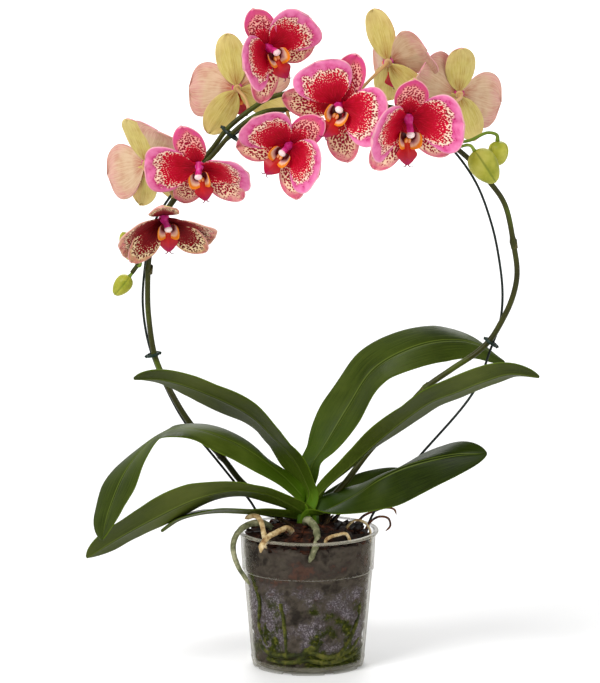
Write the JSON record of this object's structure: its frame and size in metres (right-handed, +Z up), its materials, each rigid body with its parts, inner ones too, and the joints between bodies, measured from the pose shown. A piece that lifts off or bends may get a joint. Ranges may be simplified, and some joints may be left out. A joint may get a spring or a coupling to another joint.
{
  "type": "potted orchid",
  "caption": "Moth orchid in a clear growing pot of bark, with strap leaves, aerial roots and two flower stems arched along a wire hoop.",
  "frame": {"origin": "middle of the pot's flat foot pad, on the surface it stands on", "axes": "+Z up, +X to the right along the wire hoop, -Y towards the forward facing flowers"},
  "size_m": [0.3818, 0.1687, 0.5662],
  "materials": {
    "pot_plastic": "thin clear smoky plastic, glossy, with a film of moisture and algae inside",
    "bark": "dark damp bark chips, matt",
    "crown_green": "smooth waxy green",
    "leaf": "thick waxy leaf, satin, fine lengthwise veins",
    "stem": "smooth olive green stem, satin",
    "root": "matt silvery tan aerial root",
    "wire": "plastic coated dark green steel wire, satin",
    "clip": "dark green soft plastic",
    "bud": "smooth yellow green bud, satin",
    "petal": "crimson centre, cream spotted ring and pink margin in front, pale yellow green to pink behind",
    "lip": "orange side lobes, red to magenta middle lobe"
  },
  "bodies": {
    "root": {"pot": "pot_plastic", "bark_mix": "bark", "crown": "crown_green", "wire_hoop": "wire", "spike_left": "stem", "spike_right": "stem", "leaf_left_upper": "leaf", "leaf_right_upper": "leaf", "leaf_left_middle": "leaf", "leaf_right_middle": "leaf", "leaf_left_lower": "leaf", "leaf_right_lower": "leaf", "leaf_left_small": "leaf", "leaf_right_small": "leaf", "root_over_rim_left": "root", "root_curled_left": "root", "root_over_rim_front": "root", "root_into_pot": "root", "root_thin_loop": "root", "root_short_right": "root", "root_dry_right": "root", "root_dry_rear": "root", "root_rear": "root", "clip_left": "clip", "clip_right": "clip", "clip_top": "clip", "bud_right_large": "bud", "bud_right_small": "bud", "bud_left_upper": "bud", "bud_left_lower": "bud", "flower_1": "petal", "flower_2": "petal", "flower_3": "petal", "flower_4": "petal", "flower_5": "petal", "flower_6": "petal", "flower_7": "petal", "flower_8": "petal", "flower_9": "petal", "flower_10": "petal", "lip_1": "lip", "lip_2": "lip", "lip_3": "lip", "lip_4": "lip", "lip_5": "lip", "lip_6": "lip", "lip_7": "lip", "lip_8": "lip", "lip_9": "lip", "lip_10": "lip"}
  },
  "joints": []
}
